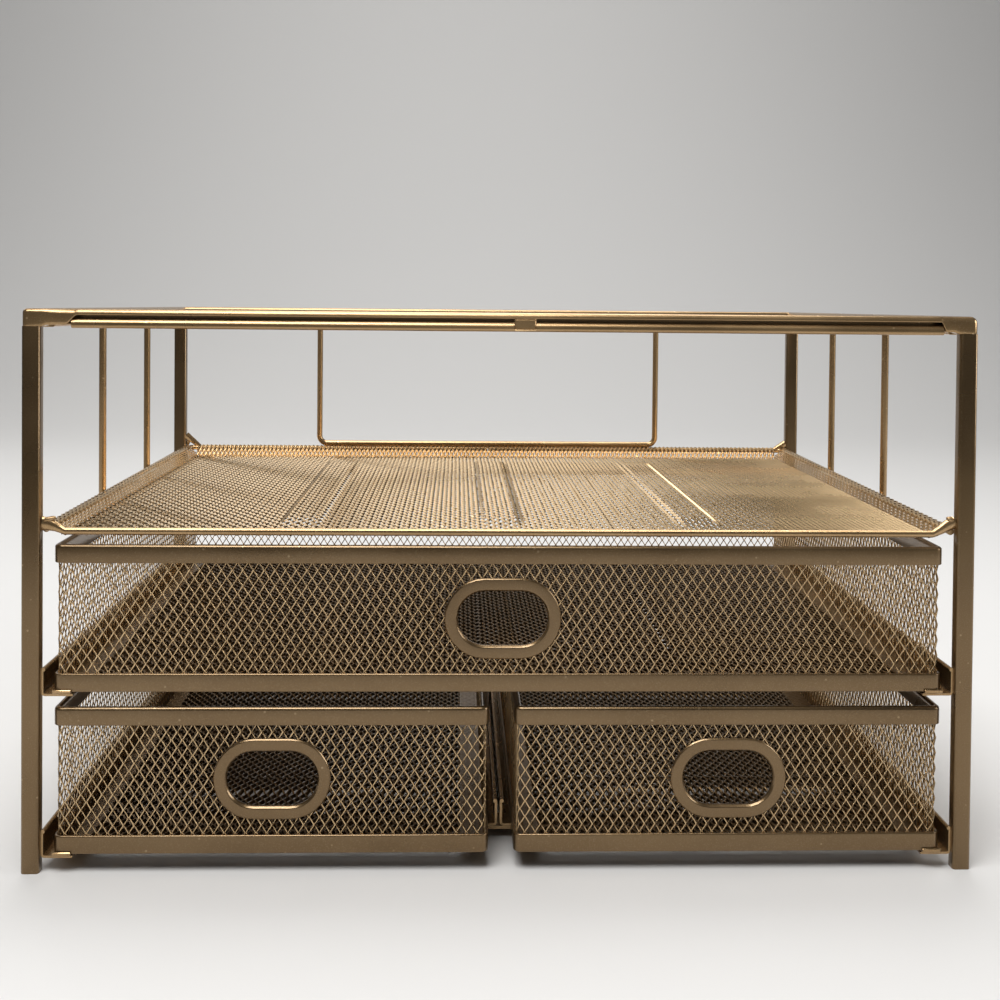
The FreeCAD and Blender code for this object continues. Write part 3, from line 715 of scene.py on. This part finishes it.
trayShape = {
    "rod": 1.3,
    "rodJoint": 0.15,     # half the gap between its ends at the back
    "sideLevel": 122.0,   # rod's centre where it starts back from the front posts
    "level": 123.9,       # and along the back
    "bend": 3.2,
    "sideFront": 0.6,     # the side rods start this far behind the front one
    # front rod and its links to the posts: from the middle, level, half height
    "leftLink": ((155.3, 121.2, 1.3), (158.4, 122.7, 1.75), (161.0, 123.6, 2.3), (163.45, 123.9, 2.6)),
    "rightLink": ((155.3, 121.2, 1.3), (158.0, 122.6, 1.7), (160.8, 124.3, 2.1), (163.45, 125.5, 2.3)),
    "rearLink": {-1: ((155.5, 124.2), (163.6, 130.4)), 1: ((157.0, 124.2), (163.6, 127.6))},
    # share of the way, half width, half height
    "rearLinkSizes": ((0.0, 0.9, 0.9), (0.3, 1.1, 1.3), (0.7, 1.2, 1.7), (1.0, 1.2, 2.0)),
    "rearLinkFront": 0.2,
    "fold": 157.2,        # the floor turns up here at the sides
    "backFold": 111.7,
    "sheetMiddle": 0.3,   # above the floor's underside
    "sheetRise": 0.2,
    "tuck": (3.2, 2.4),   # the front edge goes up behind the rod: from here, over this length
    "tuckShift": (0.6, 1.0),
    "lipRise": (2.4, 4.0),    # at the sides and at the back
    "lipEnds": (4.2, 1.0),    # the side lips' ends from the front and rear rods
    "wrap": 3.3,          # how far the mesh goes over the rod
    "wrapGap": 0.15,
}


def upAndOver(past, n, foldLine, base, rodLine, level, shape):
    # out and up along the slanted edge, then round the rod; n is the height off the sheet
    radius = shape["rod"] + shape["wrapGap"]
    reachOut, reachUp = rodLine - radius - foldLine, level - base
    slope = np.hypot(reachOut, reachUp)
    t = np.clip(past / slope, 0.0, 1.0)
    out = foldLine + reachOut * t - n * reachUp / slope
    rise = base + reachUp * t + n * reachOut / slope
    angle = math.pi - np.maximum(past - slope, 0.0) / radius
    over = past > slope
    out = np.where(over, rodLine + (radius + 0.5 * n) * np.cos(angle), out)       # pressed flatter there
    rise = np.where(over, level + (radius + 0.5 * n) * np.sin(angle), rise)
    return out, rise


def trayFloor(shape):
    low, high = inMillimetres("tray_floor_mesh")
    rodLow, rodHigh = inMillimetres("tray_rim_rod")
    base = low[2] + shape["sheetMiddle"]
    rodX, rodFront, rodBack = rodHigh[0] - shape["rod"], rodLow[1] + shape["rod"], rodHigh[1] - shape["rod"]
    startV, endV = low[1], shape["backFold"]
    middle = (startV + endV) / 2.0
    sheet = expandedSheet("trayFloorMesh", 2 * shape["fold"], endV - startV, trayMesh)
    x, v, n = coordinates(sheet).T
    y = v + middle
    beads = longBeads(middle, (endV - startV) / 2.0 - beadShape["trayEnd"])
    tuck = np.clip((startV + shape["tuck"][0] - y) / shape["tuck"][1], 0.0, 1.0)
    level = base + shape["sheetRise"] + beadRise(x, y, beads) + n * (1.0 - 0.5 * tuck)
    back, up = shape["tuckShift"]
    setCoordinates(sheet, np.column_stack((x, y + back * tuck, level + up * tuck)))
    work = bmesh.new()
    work.from_mesh(sheet)
    firstY, lastY = rodFront + shape["lipEnds"][0], rodBack - shape["lipEnds"][1]
    for side in (-1, 1):
        width = math.hypot(rodX - shape["fold"], shape["lipRise"][0]) + shape["wrap"]
        lip = expandedSheet("trayLip", width, lastY - firstY, lipMesh)
        u, v, n = coordinates(lip).T
        y = v + (firstY + lastY) / 2.0
        rodLevel = (shape["sideLevel"]
                    + (shape["level"] - shape["sideLevel"]) * (y - rodFront) / (rodBack - rodFront))
        out, rise = upAndOver(u + width / 2.0, n, shape["fold"], base, rodX, rodLevel, shape)
        work.from_mesh(setCoordinates(lip, np.column_stack((side * out, y, rise)), side < 0))
    width = math.hypot(rodBack - shape["backFold"], shape["lipRise"][1]) + shape["wrap"]
    lip = expandedSheet("trayLip", 2 * shape["fold"], width, lipMesh)
    u, v, n = coordinates(lip).T
    out, rise = upAndOver(v + width / 2.0, n, shape["backFold"], base, rodBack, shape["level"], shape)
    work.from_mesh(setCoordinates(lip, np.column_stack((u, out, rise))))
    work.to_mesh(sheet)
    work.free()
    addPiece("trayFloorMesh", sheet, ["tray_floor_mesh"], paintedHighlightMeshPaint)


def trayRod(shape):
    low, high = inMillimetres("tray_rim_rod")
    radius = shape["rod"]
    x, front, back = high[0] - radius, low[1] + radius, high[1] - radius
    around = bendPath([(shape["rodJoint"], back, shape["level"]), (x, back, shape["level"]),
                       (x, front + shape["sideFront"], shape["sideLevel"])], shape["bend"])
    fullRound = [(radius, radius)] * len(around)
    parts = [tube(around, fullRound), tube([p * (-1, 1, 1) for p in around], fullRound)]
    across = [(-a, z, tall) for a, z, tall in reversed(shape["leftLink"])] + list(shape["rightLink"])
    parts.append(tube([np.array((a, front, z)) for a, z, tall in across],
                      [(radius, tall) for a, z, tall in across]))
    linkY, stops = back - shape["rearLinkFront"], shape["rearLinkSizes"]
    for side, ((nearX, nearZ), (farX, farZ)) in shape["rearLink"].items():
        slant = [np.array((side * (nearX + (farX - nearX) * t), linkY, nearZ + (farZ - nearZ) * t))
                 for t, wide, tall in stops]
        parts.append(tube(slant, [(wide, tall) for t, wide, tall in stops]))
    addShell("trayRimRod", joinParts(parts), "tray_rim_rod", wirePaint)


weldShape = {
    "beads": (      # side, centre, half sizes
        (-1, (161.0, -117.3, 125.45), (2.5, 1.15, 1.0)),
        (-1, (162.6, 116.9, 126.6), (1.0, 1.2, 1.6)),
        (1, (161.9, -117.3, 126.5), (1.7, 1.15, 1.0)),
        (1, (162.6, 116.9, 126.6), (1.0, 1.2, 1.6)),
    ),
    "lumps": (0.86, 1.12),
    "lean": 0.22,   # the outer end sits higher
    "rings": 11,
    "sides": 12,
    "seed": 7,
}


def weldBeads(shape):
    rng = np.random.default_rng(shape["seed"])
    parts = []
    last = shape["rings"] - 1
    for side, centre, (long, deep, tall) in shape["beads"]:
        lumps = rng.uniform(*shape["lumps"], (shape["rings"], shape["sides"]))
        lumps[0] = lumps[last] = 1.0
        rings = []
        for i in range(shape["rings"]):
            a = math.pi * i / last
            ring = []
            for k in range(shape["sides"]):
                b = 2 * math.pi * k / shape["sides"]
                offset = np.array((-long * math.cos(a), deep * math.sin(a) * math.cos(b),
                                   tall * math.sin(a) * math.sin(b) + shape["lean"] * long * math.cos(a)))
                ring.append((np.array(centre) + offset * lumps[i][k]) * (side, 1, 1))
            rings.append(ring)
        parts.append(loft(rings))
    addShell("trayWelds", joinParts(parts), "tray_weld_beads", weldPaint, 80.0)


trayFloor(trayShape)
trayRod(trayShape)
weldBeads(weldShape)
print("made the tray")


# guard wires

guardShape = {"radius": 1.5, "bend": 4.0, "bendSteps": 8, "sides": 18}


def guardWire(node, label, across, shape):
    # a U that hangs from the rail; across is the axis that it spans
    low, high = inMillimetres(node)
    r = shape["radius"]
    middle = (low + high) / 2.0
    corners = []
    for spot, level in ((low[across] + r, high[2]), (low[across] + r, low[2] + r),
                        (high[across] - r, low[2] + r), (high[across] - r, high[2])):
        corner = [middle[0], middle[1], level]
        corner[across] = spot
        corners.append(corner)
    line = bpy.data.meshes.new(label)
    line.from_pydata([tuple(p) for p in metres(corners)], [(0, 1), (1, 2), (2, 3)], [])
    wire = bakeTree(label, line, wireTree, {
        "Wire Radius": r * mm, "Bend Radius": shape["bend"] * mm, "Bend Steps": shape["bendSteps"],
        "Sides": shape["sides"], "Material": wirePaint})
    wire.shade_smooth()
    addPiece(label, wire, [node], wirePaint)


guardWire("left_guard_wire", "leftGuardWire", 1, guardShape)
guardWire("right_guard_wire", "rightGuardWire", 1, guardShape)
guardWire("rear_guard_wire", "rearGuardWire", 0, guardShape)
print("made the guard wires")


# posts

postShape = {"round": 1.25, "wall": 0.8, "outerEdge": 0.15, "innerEdge": 0.1}


def cornerPost(node, label, shape):
    low, high = inMillimetres(node)
    box = (low[0], high[0], low[1], high[1])
    outline = roundOff([(0, low[2]), (0, high[2]), (shape["wall"], high[2]), (shape["wall"], low[2])],
                       [shape["outerEdge"]] * 2 + [shape["innerEdge"]] * 2, 2)
    addShell(label, sweepHoop(box, shape["round"], outline), node, paintedShadePaint)


for end in ("front", "rear"):
    for side in ("left", "right"):
        cornerPost(end + "_" + side + "_post", end + side.title() + "Post", postShape)
print("made the posts")


# top rail: a strip rolled round until its edges nearly meet, pressed shut at the corners

railShape = {
    "width": 6.5,
    "height": 6.8,
    "sheet": 0.8,
    "round": 2.2,
    "upperLip": 2.15,
    "slot": 1.2,
    "curl": 0.1,           # how far the upper lip's edge turns in
    "lowerCurl": 1.15,     # and the lower one's
    "shutCurl": 0.3,       # where the lower lip is pressed or cut
    "corner": 2.0,
    "overPost": 0.6,       # underside above the rail's, over a post
    "pressed": 1.2,        # and between the post and the slot's end
    "pressedRun": (6.6, 2.5),   # where it changes, and over which length
    "crownRun": (6.0, 8.0),     # the same for the upper edge's rounding
    "dent": 0.5,           # how far the pressed face sinks in
    "dentFrom": 4.0,
    "overlap": 0.12,       # the upper lip comes down this far past the lower edge
    "tuckSpot": 0.52,      # share of that fall at which the lower lip goes behind
    "tuckRun": 0.15,
    "tuckDrop": 1.2,
    "tuckGap": 0.15,
    "notch": (3.1, 10.9),  # along the front, for the block at the seam
    "slotEnd": {"frontLeft": 19.6, "frontRight": 13.6, "rearRight": 16.0, "rearLeft": 16.0},
    # length over which the lip comes down
    "fall": {"frontLeft": 4.6, "frontRight": 2.2, "rearRight": 3.0, "rearLeft": 3.0},
    "topRound": {"frontLeft": 1.5, "frontRight": 2.4, "rearRight": 2.2, "rearLeft": 2.2},
}


def ease(t):
    t = min(1.0, max(0.0, t))
    return t * t * (3 - 2 * t)


def railSection(shape, s, name, notched=False):
    # outline of the rail at distance s from the outer corner
    height, width, sheet, curl = shape["height"], shape["width"], shape["sheet"], shape["curl"]
    slotEnd, fall = shape["slotEnd"][name], shape["fall"][name]
    drop = 1.0 - ease((s - (slotEnd - fall)) / fall)            # upper lip comes down over the slot
    behind = slotEnd - shape["tuckSpot"] * fall
    tuck = 1.0 - ease((s - behind + shape["tuckRun"]) / (2 * shape["tuckRun"]))      # lower lip goes behind it
    press = (shape["overPost"] + (shape["pressed"] - shape["overPost"])
             * ease((s - shape["pressedRun"][0]) / shape["pressedRun"][1]))
    base = tuck * press
    dentShare = (s - shape["dentFrom"]) / (slotEnd - shape["dentFrom"] - 0.5)
    dent = shape["dent"] * math.sin(math.pi * min(1.0, max(0.0, dentShare)))
    lipEdge = (1 - drop) * (height - shape["upperLip"]) + drop * (press - shape["overlap"])
    lowerEdge = base + sheet + 0.1 if notched else height - shape["upperLip"] - shape["slot"]
    lowerEdge -= tuck * shape["tuckDrop"]
    lowerFront = tuck * (dent + sheet + shape["tuckGap"])
    topRound = shape["topRound"][name]
    crownFrom, crownLength = shape["crownRun"]
    crown = topRound + (shape["round"] - topRound) * ease((s - crownFrom) / crownLength)
    tip = curl * (1 - drop) + dent * drop
    shoulder = 0.25 + drop * 0.65
    lowShoulder = min(1.35 - 0.5 * tuck, 0.5 * (lowerEdge - base))
    lowCurl = shape["shutCurl"] if notched else shape["lowerCurl"] * (1 - tuck) + shape["shutCurl"] * tuck
    lowTip, lowInside = lowerFront + lowCurl, lowerFront + sheet
    sunk = dent * drop * 0.6
    outline = (     # corner, rounding
        ((tip, lipEdge), 0.2),
        ((sunk, lipEdge + shoulder), 1.2),
        ((0, height), -crown),
        ((width, height), 1.4),
        ((width, base), 1.2),
        ((lowerFront, base), 1.3 * (1 - tuck) + 0.3 * tuck),
        ((lowerFront, lowerEdge - lowShoulder), 2.1),
        ((lowTip, lowerEdge), 0.35),
        ((lowTip + sheet * 0.8, lowerEdge - 0.1), 0.2),
        ((lowInside, lowerEdge - lowShoulder - 0.15), 0.6),
        ((lowInside, base + sheet), 0.6),
        ((width - sheet, base + sheet), 0.4),
        ((width - sheet, height - sheet), 0.6),
        ((sheet, height - sheet), 0.9),
        ((sheet + sunk, lipEdge + shoulder + 0.1), 0.6),
        ((tip + sheet * 0.8, lipEdge + 0.1), 0.2),
    )
    return roundOff([corner for corner, rounding in outline], [rounding for corner, rounding in outline], 4)


def topRail(shape):
    (x0, y0, base), (x1, y1, top) = inMillimetres("top_rail")
    r = shape["corner"]
    corners = (("frontRight", x1, y0, 0), ("rearRight", x1, y1, 90),
               ("rearLeft", x0, y1, 180), ("frontLeft", x0, y0, 270))
    nearCorner = [6.8, 7.6, 8.6, 9.8, 11.0, 12.2]
    rings = []

    def straight(corner, angle, s, name, towards, notched=False):
        # ring at s from the corner, on the side that reaches it or leaves it
        a = math.radians(angle)
        along = np.array((-math.sin(a), math.cos(a)))
        back = np.array((-math.cos(a), -math.sin(a)))
        if towards:
            along, back = back, along
        ring = []
        for d, z in railSection(shape, s, name, notched):
            p = np.array(corner) + along * s + back * d
            ring.append((p[0], p[1], base + z))
        rings.append(ring)

    def turn(corner, angle, name, steps=8):
        # rings round the corner; past the radius they keep its inner square corner
        section = railSection(shape, 0.0, name)
        a0 = math.radians(angle)
        inwards = np.array((-math.cos(a0) - math.sin(a0), -math.sin(a0) + math.cos(a0)))
        centre = np.array(corner) + r * inwards
        for k in range(steps + 1):
            a = math.radians(angle - 90 + 90.0 * k / steps)
            ring = []
            for d, z in section:
                left = r - d
                p = centre + left * (np.array((math.cos(a), math.sin(a))) if left > 0 else -inwards)
                ring.append((p[0], p[1], base + z))
            rings.append(ring)

    for name, cx, cy, angle in corners:
        slotEnd, fall = shape["slotEnd"][name], shape["fall"][name]
        behind = slotEnd - shape["tuckSpot"] * fall
        stops = [s for s in nearCorner if s < slotEnd - fall - 0.3]
        stops += [slotEnd - fall * k for k in np.linspace(1.05, -0.05, 15)]
        stops = sorted(stops + [behind + k for k in (-0.16, -0.1, -0.03, 0.03, 0.1, 0.16)])
        for s in reversed(stops):
            straight((cx, cy), angle, s, name, True)
        turn((cx, cy), angle, name)
        for s in stops:
            straight((cx, cy), angle, s, name, False)
    first, last = shape["notch"]
    for x, notched in ((first, False), (first + 0.05, True), (last - 0.05, True), (last, False)):
        straight((x0, y0), 270, x - x0, "frontLeft", False, notched)
    addShell("topRail", loft(rings, loop=True), "top_rail", stripPaint, 50.0)


topRail(railShape)
print("made the rail")


# runners

runnerShape = {
    "height": 10.2,
    "sheet": 0.9,
    "roll": 0.75,       # radius of the rolled edge
    "fold": 1.4,
    "edge": 0.15,       # bevel of the flange's edge
    "innerFold": 0.5,
    "end": 0.25,        # bevel of the ends
    "stop": 5.0,        # the rear end of the flange turns up this far
    "stopRound": 0.25,
}


def runner(node, label, webSide, shape):
    # L-section with its upper edge rolled over; webSide is the side that the web stands on
    low, high = inMillimetres(node)
    sheet, roll, fold, edge = shape["sheet"], shape["roll"], shape["fold"], shape["edge"]
    width, top = high[0] - low[0], shape["height"] - roll
    line = [(width, 0.1), (width, sheet - 0.1), (width - edge, sheet), (sheet + shape["innerFold"], sheet),
            (sheet + 0.15, sheet + 0.15), (sheet, sheet + shape["innerFold"]), (sheet, top - 0.45)]
    line += [(roll + roll * math.sin(a), top - roll * math.cos(a))
             for a in np.linspace(0.5, 2 * math.pi - 1.6, 13)]
    line += [(0.0, top - 0.6), (0.0, fold)]
    line += [(fold * (1 - math.cos(a)), fold * (1 - math.sin(a))) for a in np.linspace(0.2, math.pi / 2, 5)]
    line += [(width - edge, 0.0)]
    rings = []
    for y, lift in ((low[1], 0.1), (low[1] + shape["end"], 0.0), (high[1] - shape["end"], 0.0), (high[1], 0.1)):
        rings.append([(low[0] + a if webSide < 0 else high[0] - a, y,
                       low[2] + b + (lift if b < sheet / 2 else 0.0)) for a, b in line])
    stopLow = low[0] + sheet + fold if webSide < 0 else low[0]
    stopHigh = high[0] if webSide < 0 else high[0] - sheet - fold
    stop = slab(((stopLow, high[1] - sheet, low[2] + 0.1), (stopHigh, high[1], low[2] + sheet + shape["stop"])),
                shape["stopRound"])
    addShell(label, joinParts([loft(rings), stop]), node, wirePaint)


for tier in ("upper", "lower"):
    runner(tier + "_left_runner", tier + "LeftRunner", -1, runnerShape)
    runner(tier + "_right_runner", tier + "RightRunner", 1, runnerShape)
runner("centre_left_runner", "centreLeftRunner", 1, runnerShape)
runner("centre_right_runner", "centreRightRunner", -1, runnerShape)
for node in ("front_cross_strip", "rear_cross_strip", "rail_seam_block"):
    carried = frame["nodes"][node]
    carried.data.materials.clear()
    carried.data.materials.append(stripPaint)
print("made the runners")


# floor, light

studio = {
    "backdrop": (0.68, 0.67, 0.655),
    "backdropRoughness": 0.85,
    "reach": (3.0, 5.0, 5.0),  # the floor's front, half its width, and the height of the wall
    "turnsUp": (1.3, 1.4),     # where the floor starts to curve up, and the radius
    "world": (0.50, 0.50, 0.50),
    "worldStrength": 0.2,
    "lamps": (     # place, aim, size, power
        ((-0.25, -0.50, 1.15), (0, 0.05, 0.1), 0.75, 12.5),
        ((1.20, -0.27, 0.52), (0, 0, 0.1), 0.65, 6.5),
        ((-0.95, 0.87, 0.90), (0, 0, 0.12), 0.7, 2.0),
        ((0.05, 0.25, 1.35), (0, 0.05, 0.1), 0.7, 3.0),
        ((0.0, 0.9, 1.9), (0, 1.6, 0.4), 1.6, 26.0),
    ),
}


def makeBackdrop(settings):
    start, radius = settings["turnsUp"]
    before, side, tall = settings["reach"]
    profile = [(-before, 0.0), (start, 0.0)]
    profile += [(start + radius * math.sin(a), radius * (1 - math.cos(a)))
                for a in np.linspace(0.1, math.pi / 2, 16)]
    profile += [(start + radius, tall)]
    points = [(x, y, z) for y, z in profile for x in (-side, side)]
    faces = [(2 * i, 2 * i + 1, 2 * i + 3, 2 * i + 2) for i in range(len(profile) - 1)]
    mesh = bpy.data.meshes.new("backdrop")
    mesh.from_pydata(points, [], faces)
    mesh.shade_smooth()
    material = bpy.data.materials.new("backdropPaper")
    material.use_nodes = True
    setInputs(material.node_tree, material.node_tree.nodes["Principled BSDF"], {
        "Base Color": (*settings["backdrop"], 1), "Roughness": settings["backdropRoughness"]})
    mesh.materials.append(material)
    backdrop = bpy.data.objects.new("backdrop", mesh)
    bpy.context.scene.collection.objects.link(backdrop)


def makeLight(settings):
    world = bpy.data.worlds.new("studio")
    world.use_nodes = True
    setInputs(world.node_tree, world.node_tree.nodes["Background"], {
        "Color": (*settings["world"], 1), "Strength": settings["worldStrength"]})
    bpy.context.scene.world = world
    for i, (place, aim, size, power) in enumerate(settings["lamps"]):
        light = bpy.data.lights.new("softbox%d" % i, "AREA")
        light.shape = "DISK"
        light.size = size
        light.energy = power
        lamp = bpy.data.objects.new("softbox%d" % i, light)
        lamp.location = place
        lamp.rotation_euler = (Vector(aim) - Vector(place)).to_track_quat("-Z", "Y").to_euler()
        bpy.context.scene.collection.objects.link(lamp)


makeBackdrop(studio)
makeLight(studio)
bpy.context.scene.view_settings.view_transform = "Standard"
print("stage set")
